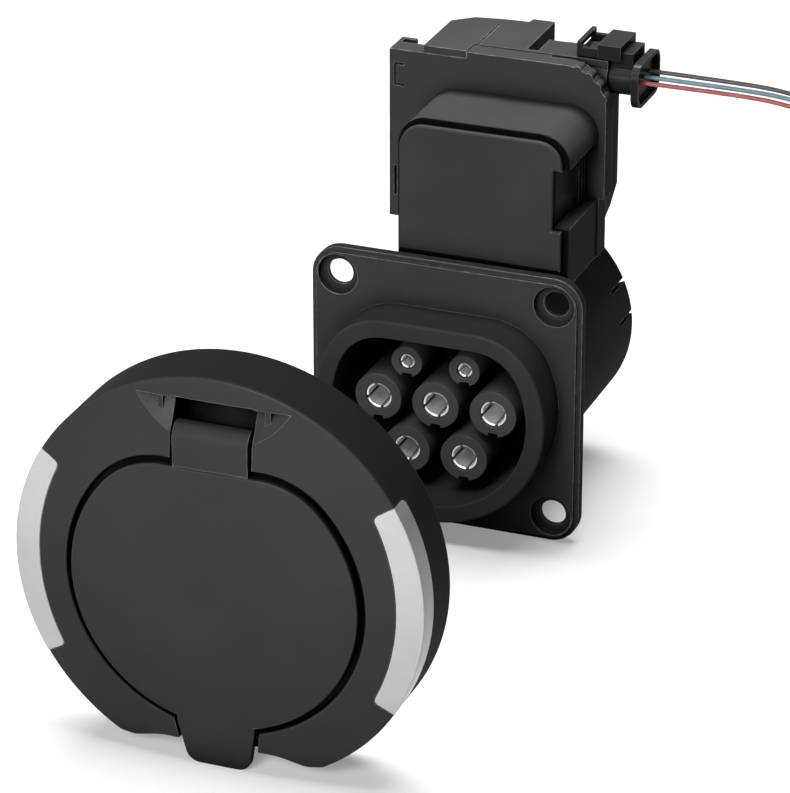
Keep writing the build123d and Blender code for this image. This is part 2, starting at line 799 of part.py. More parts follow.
def plug_latch():
    """Open latch frame that hooks over the catch on the housing."""
    low = rear_top_z + moving_gap
    front_y = plug_block_front_y + 0.6
    rear_y = plug_block_rear_y + 0.5
    loop = block(latch_front_x, plug_block_left_x, front_y, rear_y, low, low + latch_height)
    loop -= block(latch_front_x + latch_bar, plug_block_left_x + 1, front_y + latch_bar, rear_y - latch_bar,
                  low - 1, low + latch_height + 1)
    loop += block(latch_front_x, latch_front_x + latch_bar, front_y, rear_y, low, low + latch_front_height)
    loop -= block(latch_front_x - 1, latch_front_x + latch_bar + 1, front_y + latch_bar, rear_y - latch_bar,
                  low + latch_low_bar, low + latch_front_height - latch_bar)
    return whole(loop)


def header_pins():
    pins = []
    for number in (-1, 0, 1):
        y = plug_y + number * lead_pitch
        front = shroud_back_x - 2
        pins.append(rod_x(header_pin_radius, front, shroud_back_x + header_pin_length, y, plug_z))
    return Compound(children=[pin.solids()[0] for pin in pins])


def gear_face(teeth, module, backlash, start_angle):
    """Involute gear outline, with the tooth thinned by the backlash."""
    pitch_r = teeth * module / 2
    base_r = pitch_r * cos(radians(20))
    tip_r = pitch_r + 0.9 * module
    root_r = pitch_r - 1.25 * module
    pressure = tan(radians(20)) - radians(20)
    half_pitch = (pi / 2 - backlash / module) / teeth
    flank = [max(base_r, root_r), (max(base_r, root_r) + pitch_r) / 2, pitch_r, (pitch_r + tip_r) / 2, tip_r]

    def half_angle(r):
        alpha = acos(min(1.0, base_r / r))
        return half_pitch + pressure - (tan(alpha) - alpha)

    points = []
    for tooth in range(teeth):
        middle = radians(start_angle) + 2 * pi * tooth / teeth
        rising = [(root_r, -half_angle(flank[0]))] if root_r < flank[0] else []
        rising += [(r, -half_angle(r)) for r in flank]
        falling = [(r, -a) for r, a in reversed(rising)]
        for r, a in rising + falling:
            points.append((r * cos(middle + a), r * sin(middle + a)))
    return outline(points)


def gear_shaft():
    """Shaft with the rack pinion in front and the large wheel behind."""
    front = cover_face_y + cover_plate + fit_gap * 4
    back = frame_plate_y - fit_gap * 2
    place = Pos(gear_x, gear_z)
    shaft = rod_y(shaft_radius, front, back, gear_x, gear_z)
    pinion = place * gear_face(pinion_teeth, rack_module, gear_backlash, 180)
    shaft += prism_y(pinion, bolt_y - pinion_width / 2, bolt_y + pinion_width / 2)
    wheel = place * gear_face(wheel_teeth, wheel_module, gear_backlash, motor_angle)
    shaft += prism_y(wheel, wheel_front_y, wheel_front_y + wheel_width)
    recess = place * (Circle(wheel_radius - 1.25 * wheel_module - wheel_rim) - Circle(shaft_radius + bearing_wall))
    pocket = (wheel_width - wheel_web) / 2
    shaft -= prism_y(recess, wheel_front_y, wheel_front_y + pocket)
    shaft -= prism_y(recess, wheel_front_y + wheel_width - pocket, wheel_front_y + wheel_width)
    hub_front = bolt_y + pinion_width / 2
    shaft += rod_y(shaft_radius + bearing_wall, hub_front, wheel_front_y, gear_x, gear_z)
    return whole(shaft)


def motor_pinion():
    start = motor_angle + 180 + 180 / drive_teeth
    pinion = Pos(motor_x, motor_z) * gear_face(drive_teeth, wheel_module, gear_backlash, start)
    back = frame_plate_y - motor_boss_height + 6
    solid = prism_y(pinion, wheel_front_y, wheel_front_y + wheel_width)
    solid += rod_y(motor_shaft_radius, wheel_front_y, back, motor_x, motor_z)
    return whole(solid)


def motor():
    face = Circle(motor_radius)
    face &= Rectangle(2 * motor_radius, 2 * motor_flat)
    back = frame_plate_y + motor_length
    solid = prism_y(Pos(motor_x, motor_z) * face, frame_plate_y, back)
    boss_front = frame_plate_y - motor_boss_height
    solid += rod_y(motor_boss_radius, boss_front, frame_plate_y, motor_x, motor_z)
    solid += rod_y(motor_boss_radius, back, back + motor_boss_height, motor_x, motor_z)
    for side in (-1, 1):
        x = motor_x + side * motor_radius / 2
        solid += block(x - terminal_width / 2, x + terminal_width / 2, back - 0.2, back + terminal_length,
                       motor_z - terminal_thickness / 2, motor_z + terminal_thickness / 2)
    solid -= rod_y(motor_shaft_radius + running_gap, boss_front, boss_front + 6.2, motor_x, motor_z)
    return whole(solid)


def rack_teeth():
    """Straight teeth on the +X side of the rack."""
    pitch = pi * rack_module
    slope = tan(radians(20))
    tip = rack_pitch_x + 0.9 * rack_module
    root = rack_pitch_x - 1.25 * rack_module
    half_tip = pitch / 4 - slope * 0.9 * rack_module - gear_backlash / 2
    half_root = pitch / 4 + slope * 1.25 * rack_module - gear_backlash / 2
    teeth = None
    count = int((rack_top_z - rack_low_z) / pitch)
    first = gear_z + pitch / 2 - ceil((gear_z + pitch / 2 - rack_low_z - half_root) / pitch - 1) * pitch
    for number in range(count):
        z = first + number * pitch
        if z + half_root > rack_top_z:
            continue
        tooth = outline([(root - 0.2, z - half_root), (root, z - half_root), (tip, z - half_tip), (tip, z + half_tip),
                         (root, z + half_root), (root - 0.2, z + half_root)])
        solid = prism_y(tooth, bolt_y - rack_width / 2, bolt_y + rack_width / 2)
        teeth = solid if teeth is None else teeth + solid
    return teeth


def locking_bolt():
    root = rack_pitch_x - 1.25 * rack_module
    bolt = rod_z(bolt_radius, bolt_tip_z, rack_low_z + 1, 0, bolt_y)
    tip = bolt.faces().sort_by(Axis.Z)[0].edges()
    bolt = chamfer(tip, 0.6)
    bolt += block(rack_back_x, root, bolt_y - rack_width / 2, bolt_y + rack_width / 2, rack_low_z, rack_top_z)
    bolt += rack_teeth()
    return whole(bolt)


def bolt_guide():
    guide = rod_z(bolt_radius + guide_wall, saddle_z, case_floor_z, 0, bolt_y)
    guide += rod_z(bolt_radius + guide_wall + guide_collar, case_floor_z, case_floor_z + guide_height - case_wall, 0, bolt_y)
    guide -= rod_z(bolt_radius + running_gap, saddle_z, saddle_z + guide_height, 0, bolt_y)
    return whole(guide)


def bolt_seal():
    ring = rod_z(bolt_radius + guide_wall - fit_gap, saddle_z - seal_height, saddle_z, 0, bolt_y)
    ring -= rod_z(bolt_radius + moving_gap, saddle_z - seal_height, saddle_z, 0, bolt_y)
    return whole(ring)


def circuit_board():
    front = bolt_y + rack_width / 2
    return whole(block(board_left_x, board_right_x, front, front + board_thickness, board_low_z, board_high_z))


def position_switch():
    front = bolt_y + rack_width / 2 - switch_depth
    back = bolt_y + rack_width / 2
    left = -switch_length / 2
    low = rack_top_z + moving_gap + plunger_length
    body = block(left, left + switch_length, front, back, low, low + switch_height)
    body += rod_z(plunger_radius, low - plunger_length, low, 0, bolt_y)
    return whole(body)


def case_screws():
    """Three screws through the frame into the case bosses."""
    screws = []
    head_y = frame_plate_y
    for x, z in case_screw_points:
        screw = rod_y(case_screw_radius, head_y - case_screw_length, head_y, x, z)
        head = rod_y(case_screw_head_radius, head_y, head_y + case_screw_head_height, x, z)
        screws.append((screw + head).solids()[0])
    return Compound(children=screws)


def saddle_screws():
    """Two screws through the case floor into the saddle."""
    screws = []
    for side in (-1, 1):
        x = side * saddle_screw_x
        screw = rod_z(saddle_screw_radius, case_floor_z - saddle_screw_length, case_floor_z, x, saddle_screw_y)
        head = rod_z(case_screw_head_radius, case_floor_z, case_floor_z + case_screw_head_height, x, saddle_screw_y)
        screws.append((screw + head).solids()[0])
    return Compound(children=screws)


# Loose cover: local frame with the ring centre at its front edge plane
cover_place = Pos(ring_x, ring_front_y, ring_z)
dome_centre_y = sqrt(dome_radius ** 2 - ring_radius ** 2)
lid_hole_radius = ring_radius - cover_border
lid_hole_top_z = lid_hole_radius - lid_top_drop
lid_top_z = lid_hole_top_z - lid_edge_gap
lid_low_z = -lid_hole_radius + lid_edge_gap - lid_centre_drop
hinge_axis_z = ring_radius - hinge_axis_inset
hinge_tab_bend_z = ring_radius - hinge_tab_bend_inset
hinge_barrel_radius = hinge_pin_radius + hinge_barrel_wall
pin_bore = hinge_pin_radius + running_gap
slot_half_width = hinge_half_width + hinge_side_gap
window_low_z = lid_hole_top_z - 2 * moving_gap
window_top_z = ring_radius - window_top_inset
scoop_z = ring_radius - scoop_ledge_inset
cover_reach = 2 * ring_depth
ledge_depth = ledge_setback + ledge_thickness
cover_boss_end = ring_depth + flange_front_y


def dome(radius):
    return Pos(0, dome_centre_y, 0) * Sphere(radius)


def face_y(z):
    """Front surface of the dome at height z on the centre line."""
    return dome_centre_y - sqrt(dome_radius ** 2 - z ** 2)


def cup(radius, sphere_radius, depth):
    return rod_y(radius, -8, depth) & dome(sphere_radius)


def scoop(radius):
    """Ball that presses the finger scoop into the face above the lid."""
    return Pos(0, -scoop_setback, scoop_z + scoop_rise) * Sphere(radius)


def segment_region(side, gap):
    """Space of one side window: between an inner arc and the rim, on the face and round the edge."""
    reach = ring_radius + 4
    half = radians(segment_angle) - gap / ring_radius
    wedge = outline([(0, 0), (reach * cos(half) * side, -reach * sin(half)), (2 * reach * side, 0),
                     (reach * cos(half) * side, reach * sin(half))])
    wedge -= Pos(-side * segment_shift, 0) * Circle(ring_radius + gap)
    inner = [v for v in wedge.vertices() if abs(v.X) < ring_radius * 0.86]
    if segment_corner > gap:
        wedge = fillet(inner, segment_corner - gap)
    region = prism_y(wedge, -ring_depth, segment_wrap - gap)
    half_height = ring_radius * sin(half)
    side_view = Rectangle(2 * (segment_wrap - gap), 2 * half_height)
    side_view = fillet(side_view.vertices().group_by(Axis.X)[-1], segment_tip_round)
    side_view += Pos(-ring_depth / 2, 0) * Rectangle(ring_depth, 2 * half_height)
    return region & prism_x(side_view, -ring_radius - 1, ring_radius + 1)


def light_window(side):
    shell = cup(ring_radius, dome_radius, segment_wrap) - cup(ring_radius - ring_wall, dome_radius - ring_wall,
                                                              segment_wrap)
    return cover_place * whole(shell & segment_region(side, segment_gap))


def lid_outline(inset):
    """Round outline of the lid's hole with a flat top; inset moves it inward."""
    radius = lid_hole_radius - inset
    top = lid_hole_top_z - inset
    face = Pos(0, -lid_centre_drop) * Circle(radius)
    face -= Pos(0, top + radius) * Rectangle(2 * radius, 2 * radius)
    return fillet(face.vertices().group_by(Axis.Y)[-1], lid_corner - inset)


def lid_prism(inset, y_back):
    return prism_y(lid_outline(inset), -ring_depth, y_back)


def notch_profile(inset):
    """Notch at the bottom: flat middle, sloping sides, and blunt corners where it meets the rim."""
    edge_z = -sqrt(ring_radius ** 2 - notch_outer_half_width ** 2)
    slope = Vector(notch_outer_half_width - notch_half_width, edge_z - notch_z).normalized() * notch_corner_cut
    turn = atan2(edge_z, notch_outer_half_width) + notch_corner_cut / ring_radius
    right = [(notch_half_width, notch_z), (notch_outer_half_width - slope.X, edge_z - slope.Y),
             (ring_radius * cos(turn) + running_gap, ring_radius * sin(turn)), (ring_radius, -ring_radius - 5)]
    right = [(x + inset, z + inset) for x, z in right]
    right[0] = (notch_half_width, notch_z + inset)
    face = outline(right + [(-x, z) for x, z in reversed(right)])
    face = fillet([v for v in face.vertices() if abs(v.Y - right[0][1]) < 0.01], notch_inner_round)
    return fillet([v for v in face.vertices() if abs(v.Y - right[1][1]) < 0.01], notch_outer_round)


def pull_tab_outline(gap):
    top = pull_tab_top_half_width + gap
    low = pull_tab_low_half_width + gap
    low_z = pull_tab_low_z - 4 * gap
    return outline([(-top, pull_tab_top_z), (-top, lid_low_z), (-low, low_z), (low, low_z),
                    (top, lid_low_z), (top, pull_tab_top_z)])


def front_edges(solid, sphere_radius):
    """Edges of the solid that lie on the dome of this radius."""
    centre = Vector(0, dome_centre_y, 0)
    return [e for e in solid.edges() if all(abs(((e @ t) - centre).length - sphere_radius) < 0.001
                                            for t in (0.0, 0.5, 1.0))]


def cover_ring():
    inner_radius = ring_radius - ring_wall
    inside = cup(inner_radius + 0.5, dome_radius - 0.5, ring_depth)
    ring = cup(ring_radius, dome_radius, ring_depth)
    edge = [e for e in ring.edges().filter_by(GeomType.CIRCLE) if abs(e.center().Y) < 0.5]
    ring = fillet(edge, ring_edge_round)
    ring -= cup(inner_radius, dome_radius - ring_wall, ring_depth)
    ring += prism_y(lid_outline(-ledge_wall), -1, ledge_depth) & inside
    for x, z in fixing_points():
        ring += rod_y(cover_boss_radius, -1, cover_boss_end, x, z) & inside
    hole = lid_prism(0, ledge_setback)
    ring -= hole
    ring -= lid_prism(ledge_width, ledge_depth)
    ring = fillet([e for e in front_edges(ring, dome_radius) if Vector(e @ 0.5).Z < lid_hole_top_z + 1
                   and e.length > 5 and (e @ 0.5).length < lid_hole_radius + 5], hole_edge_round)
    ring += scoop(scoop_radius + ring_wall) & inside & block(
        -ring_radius, ring_radius, -ring_depth, ring_depth, lid_hole_top_z, scoop_z + ring_wall)
    ring -= scoop(scoop_radius) & block(-ring_radius, ring_radius, -cover_reach, ring_depth, 0, scoop_z)
    side = slot_half_width + hinge_lug_width
    pocket = block(-side, side, 0, pocket_depth + pocket_wall, lid_hole_top_z, ring_radius)
    pocket -= block(-side + pocket_wall, side - pocket_wall, 0, pocket_depth, lid_hole_top_z + pocket_wall, ring_radius)
    ring += pocket & inside
    lug_radius = hinge_barrel_radius + hinge_lug_wall
    for way in (-1, 1):
        ends = sorted((way * slot_half_width, way * side))
        lug = Pos(hinge_axis_y, hinge_axis_z) * Circle(lug_radius)
        lug += Pos(hinge_axis_y / 2 - ring_wall / 4, hinge_axis_z) * Rectangle(hinge_axis_y + ring_wall / 2, 2 * lug_radius)
        ring += prism_x(lug, *ends)
    ring -= block(-slot_half_width, slot_half_width, -cover_reach, pocket_depth, window_low_z, window_top_z)
    ring -= rod_x(pin_bore, -side, side, hinge_axis_y, hinge_axis_z)
    wall = prism_y(notch_profile(ring_wall), 0, ring_depth) & cup(ring_radius, dome_radius - 0.5, ring_depth)
    ring += wall
    ring -= prism_y(notch_profile(0), -cover_reach, ring_depth + 1)
    ring -= prism_y(pull_tab_outline(pull_tab_gap), -cover_reach, ledge_setback)
    for x, z in fixing_points():
        ring -= rod_y(insert_radius + fit_gap, cover_boss_end - insert_length, cover_boss_end, x, z)
    for way in (-1, 1):
        ring -= segment_region(way, 0)
    return cover_place * whole(ring)


def lid():
    shell = lid_prism(lid_edge_gap, ledge_depth) + prism_y(pull_tab_outline(0), -ring_depth, ledge_depth)
    low = [e for e in shell.edges().filter_by(Axis.Y) if e.center().Z < pull_tab_low_z + 0.1]
    shell = fillet(low, pull_tab_corner)
    proud_radius = dome_radius + lid_proud
    inner = dome(proud_radius - lid_wall)
    solid = shell & dome(proud_radius)
    solid = fillet(front_edges(solid, proud_radius), lid_edge_round) - inner
    rib_inset = ledge_width + lid_rib_inset
    rib = lid_prism(rib_inset, lid_rib_height) - lid_prism(rib_inset + lid_rib_width, lid_rib_height)
    solid += rib & dome(proud_radius - 0.5)
    front = dome_centre_y - sqrt(proud_radius ** 2 - hinge_tab_bend_z ** 2)
    bend_y = front + hinge_tab_bend
    start_z = lid_top_z - seal_edge_inset + moving_gap
    start_front = dome_centre_y - sqrt(proud_radius ** 2 - start_z ** 2) + lid_edge_round
    start_back = dome_centre_y - sqrt((proud_radius - lid_wall) ** 2 - start_z ** 2)
    web = outline([(start_front, start_z), (front, lid_top_z + lid_edge_round), (front, hinge_tab_bend_z),
                   (bend_y, hinge_tab_bend_z + hinge_tab_bend),
                   (hinge_axis_y, hinge_axis_z + hinge_barrel_radius), (hinge_axis_y, hinge_axis_z - hinge_barrel_radius),
                   (front + hinge_tab_wall, hinge_tab_bend_z), (start_back, start_z)])
    web += Pos(bend_y, hinge_tab_bend_z) * Circle(hinge_tab_bend) & Pos(
        bend_y - hinge_tab_bend / 2, hinge_tab_bend_z + hinge_tab_bend / 2) * Rectangle(hinge_tab_bend, hinge_tab_bend)
    web += Pos(hinge_axis_y, hinge_axis_z) * Circle(hinge_barrel_radius)
    solid += prism_x(web, -hinge_half_width, hinge_half_width)
    pocket = hinge_pin_radius + 2 * moving_gap + 2 * spring_wire_radius
    solid -= rod_x(pocket, -hinge_spring_half_width, hinge_spring_half_width, hinge_axis_y, hinge_axis_z)
    solid -= block(-hinge_spring_half_width, hinge_spring_half_width, hinge_axis_y, ring_depth,
                   hinge_axis_z - pocket, hinge_axis_z + pocket)
    solid -= rod_x(pin_bore, -hinge_half_width, hinge_half_width, hinge_axis_y, hinge_axis_z)
    return cover_place * whole(solid)


def lid_seal():
    outer = lid_edge_gap + seal_edge_inset
    ring = lid_prism(outer, ledge_setback) - lid_prism(outer + seal_width, ledge_setback)
    ring &= dome(dome_radius + lid_proud - lid_wall - moving_gap)
    return cover_place * whole(ring)


def hinge_pin():
    half = slot_half_width + hinge_lug_width
    return cover_place * whole(rod_x(hinge_pin_radius, -half, half, hinge_axis_y, hinge_axis_z))


def lid_spring():
    """Torsion spring round the hinge pin, one leg on the lid and one on the ring."""
    pitch = 2 * (hinge_spring_half_width - 0.8) / spring_turns
    radius = hinge_pin_radius + moving_gap + spring_wire_radius
    height = spring_turns * pitch
    path = Helix(pitch, height, radius)
    section = Plane(origin=path @ 0, z_dir=path % 0) * Circle(spring_wire_radius)
    coil = sweep(section, path)
    coil = Pos(-height / 2, hinge_axis_y, hinge_axis_z) * Rot(0, 90, 0) * coil
    return cover_place * whole(coil)


def threaded_inserts():
    """Four brass inserts in the cover bosses."""
    parts = []
    front = cover_boss_end - insert_length
    for x, z in fixing_points():
        insert = rod_y(insert_radius, front, cover_boss_end, x, z)
        insert -= rod_y(insert_bore_radius, front, cover_boss_end, x, z)
        parts.append((cover_place * insert).solids()[0])
    return Compound(children=parts)


# Leads: seen stretch straight out of the plug, then down to the surface and into a coil out of view
floor_z = ring_z + pull_tab_low_z
lead_start_x = plug_barrel_end_x + plug_plate - plug_cup_depth
lead_routes = {
    "lead_red": [(lead_start_x, plug_y - lead_pitch, plug_z), (58.0, plug_y - 4.8, 78.4), (76.0, plug_y - 5.2, 78.2),
                 (89.0, plug_y - 5.8, 75.5), (97.5, plug_y - 6.6, 60.0), (98.5, plug_y - 7.8, 33.0),
                 (95.5, plug_y - 9.4, 5.0), (93.8, plug_y - 10.4, -13.0), (92.8, plug_y - 12.4, -24.5),
                 (92.6, plug_y - 17.0, -32.6), (92.5, plug_y - 23.8, -35.6)],
    "lead_blue": [(lead_start_x, plug_y, plug_z), (58.0, plug_y + 0.1, 78.1), (76.0, plug_y + 0.3, 77.7),
                  (88.5, plug_y + 0.6, 74.8), (97.5, plug_y + 0.9, 58.5), (99.0, plug_y + 1.9, 30.0),
                  (95.5, plug_y + 3.4, 2.0), (94.0, plug_y + 3.7, -14.5), (93.0, plug_y + 2.8, -25.5),
                  (92.6, plug_y - 0.3, -32.8), (92.5, plug_y - 5.8, -35.6)],
    "lead_black": [(lead_start_x, plug_y + lead_pitch, plug_z), (57.0, plug_y + 4.9, 78.0), (74.5, plug_y + 5.3, 77.4),
                   (86.5, plug_y + 6.0, 74.0), (95.0, plug_y + 6.5, 57.0), (96.0, plug_y + 6.6, 28.0),
                   (92.6, plug_y + 5.6, 1.0), (91.8, plug_y + 5.0, -15.0), (91.9, plug_y + 6.2, -26.0),
                   (92.3, plug_y + 9.6, -32.8), (92.5, plug_y + 15.4, -35.6)],
}


def route_radii(points):
    """Largest bend radius that each corner's two runs allow."""
    radii = []
    for before, here, after in zip(points, points[1:], points[2:]):
        a = Vector(*here) - Vector(*before)
        b = Vector(*after) - Vector(*here)
        turn = radians(a.get_angle(b))
        radii.append(0.45 * min(a.length, b.length) / tan(turn / 2))
    return radii


def lead(points):
    radii = route_radii(points)
    path = FilletPolyline(*points, radius=radii)
    section = Plane(origin=path @ 0, z_dir=path % 0) * Circle(lead_radius)
    return whole(sweep(section, path)), path.length, radii


def lead_coil(points):
    """Outer shape of a small flat coil of the lead's spare length."""
    end_x, end_y, end_z = points[-1]
    centre_z = floor_z + lead_coil_thickness
    return whole(Pos(end_x + lead_coil_radius, end_y, centre_z) * Torus(lead_coil_radius, lead_coil_thickness))


pieces = {
    "socket_housing": socket_housing,
    "contact_carrier": contact_carrier,
    "contact_towers": contact_towers,
    "contact_retainer": contact_retainer,
    "rear_cap": rear_cap,
    "actuator_case": actuator_case,
    "actuator_cover": actuator_cover,
    "actuator_frame": actuator_frame,
    "actuator_rear_housing": actuator_rear_housing,
    "plug_housing": plug_housing,
    "plug_latch": plug_latch,
    "header_pins": header_pins,
    "gear_shaft": gear_shaft,
    "motor_pinion": motor_pinion,
    "motor": motor,
    "locking_bolt": locking_bolt,
    "bolt_guide": bolt_guide,
    "bolt_seal": bolt_seal,
    "circuit_board": circuit_board,
    "position_switch": position_switch,
    "case_screws": case_screws,
    "saddle_screws": saddle_screws,
    "cover_ring": cover_ring,
    "lid": lid,
    "lid_seal": lid_seal,
    "hinge_pin": hinge_pin,
    "lid_spring": lid_spring,
    "threaded_inserts": threaded_inserts,
}

os.makedirs("parts", exist_ok=True)
for name, make in pieces.items():
    export_step(make(), "parts/" + name + ".step")
for name, (x, z) in power_contacts.items():
    sleeve = contact(x, z, power_pin_radius, contact_wall, contact_tip_wall, contact_slot_width)
    export_step(sleeve, "parts/" + name + ".step")
for name, (x, z) in signal_contacts.items():
    sleeve = contact(x, z, signal_pin_radius, signal_contact_wall, signal_contact_tip_wall, signal_contact_slot_width)
    export_step(sleeve, "parts/" + name + ".step")
export_step(light_window(-1), "parts/light_window_left.step")
export_step(light_window(1), "parts/light_window_right.step")
for name, points in lead_routes.items():
    tube, length, radii = lead(points)
    export_step(tube, "parts/" + name + ".step")
    export_step(lead_coil(points), "parts/" + name + "_coil.step")
    print(name, "tube", round(length, 1), "mm, radii", [round(r, 1) for r in radii])
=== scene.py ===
import math

import bpy
from mathutils import Matrix, Vector


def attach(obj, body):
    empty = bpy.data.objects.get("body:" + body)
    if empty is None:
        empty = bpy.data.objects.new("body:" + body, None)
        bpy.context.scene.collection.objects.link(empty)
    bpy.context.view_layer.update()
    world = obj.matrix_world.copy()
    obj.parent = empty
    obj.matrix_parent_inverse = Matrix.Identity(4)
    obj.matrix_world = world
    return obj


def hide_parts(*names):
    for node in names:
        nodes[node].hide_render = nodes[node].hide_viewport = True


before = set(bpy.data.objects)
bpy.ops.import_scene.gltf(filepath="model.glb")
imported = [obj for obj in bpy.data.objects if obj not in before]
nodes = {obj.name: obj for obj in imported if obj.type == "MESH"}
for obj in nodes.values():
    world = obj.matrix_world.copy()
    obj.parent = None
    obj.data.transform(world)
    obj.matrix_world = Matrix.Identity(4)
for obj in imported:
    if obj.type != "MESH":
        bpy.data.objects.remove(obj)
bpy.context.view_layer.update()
scene = bpy.context.scene
MM = 0.001
FLOOR_Z = -37.5 * MM

scene.view_settings.view_transform = "Standard"


# Camera, at the photo's angle
CAMERA_PLACE = (0.35630, -0.96066, 0.47290)
CAMERA_LENS = 194.30
SENSOR_WIDTH = 36.0  # millimetres, as the lens
NEAR_CLIP, FAR_CLIP = 0.05, 50.0
# the camera's own axes
right = Vector((0.93266, 0.36075, 0.0))
up = Vector((-0.15168, 0.39215, 0.90731))
look = Vector((-0.32731, 0.84621, -0.42046))
camera_data = bpy.data.cameras.new("camera")
camera = bpy.data.objects.new("camera", camera_data)
scene.collection.objects.link(camera)
camera.matrix_world = Matrix((
    (right.x, up.x, -look.x, CAMERA_PLACE[0]),
    (right.y, up.y, -look.y, CAMERA_PLACE[1]),
    (right.z, up.z, -look.z, CAMERA_PLACE[2]),
    (0.0, 0.0, 0.0, 1.0)))
camera_data.sensor_fit = "AUTO"
camera_data.sensor_width = SENSOR_WIDTH
camera_data.lens = CAMERA_LENS
camera_data.clip_start = NEAR_CLIP
camera_data.clip_end = FAR_CLIP
scene.camera = camera


# Node helpers
BEVEL_SAMPLES = 4
OPENNESS_SAMPLES = 6
FLAT, BENT = 0.995, 0.86  # cosine between true and rounded normal: no edge, full edge
SHUT, OPEN = 0.32, 0.76  # share of free sky: deep in a recess, on a free face


class Nodes:
    """A material's node tree, with short calls that add a node and join its inputs."""

    def __init__(self, name):
        self.material = bpy.data.materials.new(name)
        self.material.use_nodes = True
        self.tree = self.material.node_tree
        self.tree.nodes.clear()
        self.output = self.tree.nodes.new("ShaderNodeOutputMaterial")

    def add(self, kind, **settings):
        node = self.tree.nodes.new(kind)
        for key, value in settings.items():
            setattr(node, key, value)
        return node

    def join(self, source, target):
        self.tree.links.new(source, target)

    def place(self, scale=(1.0, 1.0, 1.0)):
        """Object coordinates in metres, stretched by scale."""
        coordinates = self.add("ShaderNodeTexCoord")
        mapping = self.add("ShaderNodeMapping")
        mapping.inputs["Scale"].default_value = scale
        self.join(coordinates.outputs["Object"], mapping.inputs["Vector"])
        return mapping.outputs["Vector"]

    def noise(self, scale, detail=2.0, roughness=0.5, stretch=(1.0, 1.0, 1.0)):
        node = self.add("ShaderNodeTexNoise")
        node.inputs["Scale"].default_value = scale
        node.inputs["Detail"].default_value = detail
        node.inputs["Roughness"].default_value = roughness
        self.join(self.place(stretch), node.inputs["Vector"])
        return node.outputs["Fac"]

    def spread(self, value, low, high, to_low, to_high):
        """Map value from low..high to to_low..to_high, with no overshoot."""
        node = self.add("ShaderNodeMapRange")
        node.inputs["From Min"].default_value = low
        node.inputs["From Max"].default_value = high
        node.inputs["To Min"].default_value = to_low
        node.inputs["To Max"].default_value = to_high
        self.join(value, node.inputs["Value"])
        return node.outputs["Result"]

    def calc(self, operation, a, b):
        """One maths node; each side is a number or another node's output."""
        node = self.add("ShaderNodeMath", operation=operation)
        for socket, value in zip(node.inputs, (a, b)):
            if isinstance(value, (int, float)):
                socket.default_value = value
            else:
                self.join(value, socket)
        return node.outputs["Value"]

    def blend(self, share, first, second):
        """Colour from first to second as share goes from 0 to 1."""
        node = self.add("ShaderNodeMix", data_type="RGBA")
        self.join(share, node.inputs[0])
        for socket, value in ((node.inputs[6], first), (node.inputs[7], second)):
            if isinstance(value, tuple):
                socket.default_value = (*value, 1.0)
            else:
                self.join(value, socket)
        return node.outputs[2]

    def edges(self, radius):
        """Normals rounded over each edge, and how far each point is bent from the flat."""
        bevel = self.add("ShaderNodeBevel", samples=BEVEL_SAMPLES)
        bevel.inputs["Radius"].default_value = radius
        geometry = self.add("ShaderNodeNewGeometry")
        dot = self.add("ShaderNodeVectorMath", operation="DOT_PRODUCT")
        self.join(bevel.outputs["Normal"], dot.inputs[0])
        self.join(geometry.outputs["Normal"], dot.inputs[1])
        return bevel.outputs["Normal"], self.spread(dot.outputs["Value"], FLAT, BENT, 0.0, 1.0)

    def openness(self, distance):
        """How open each point lies, from 0 deep in a recess to 1 on a free face."""
        node = self.add("ShaderNodeAmbientOcclusion", samples=OPENNESS_SAMPLES)
        node.inputs["Distance"].default_value = distance
        return self.spread(node.outputs["AO"], SHUT, OPEN, 0.0, 1.0)

    def bump(self, height, strength, distance, normal=None):
        node = self.add("ShaderNodeBump")
        node.inputs["Strength"].default_value = strength
        node.inputs["Distance"].default_value = distance
        self.join(height, node.inputs["Height"])
        if normal is not None:
            self.join(normal, node.inputs["Normal"])
        return node.outputs["Normal"]

    def principled(self, colour, roughness, normal, **plain):
        """Finish the material with joined colour, roughness and normal and plain values."""
        shader = self.add("ShaderNodeBsdfPrincipled")
        self.join(colour, shader.inputs["Base Color"])
        self.join(roughness, shader.inputs["Roughness"])
        self.join(normal, shader.inputs["Normal"])
        for key, value in plain.items():
            shader.inputs[key.replace("_", " ")].default_value = value
        self.join(shader.outputs["BSDF"], self.output.inputs["Surface"])
        self.shader = shader
        return self.material


# Materials
COAT_ROUGH = 0.25
PAINTED_RECESS_SHADE = 0.08  # painted shade: colour at the bottom of a recess, as a share of the darkest face colour
GRAIN_DEPTH = 0.00006
SMOOTHER, ROUGHER = 0.05, 0.07  # how far handling marks move the roughness
RUBBED_SMOOTH = 0.12  # roughness that a rubbed edge loses
RUBBED_COAT = 0.5  # weight of coat that it gains
METAL_EDGE = 0.00015
TOOL_LINE_DEPTH = 0.00003


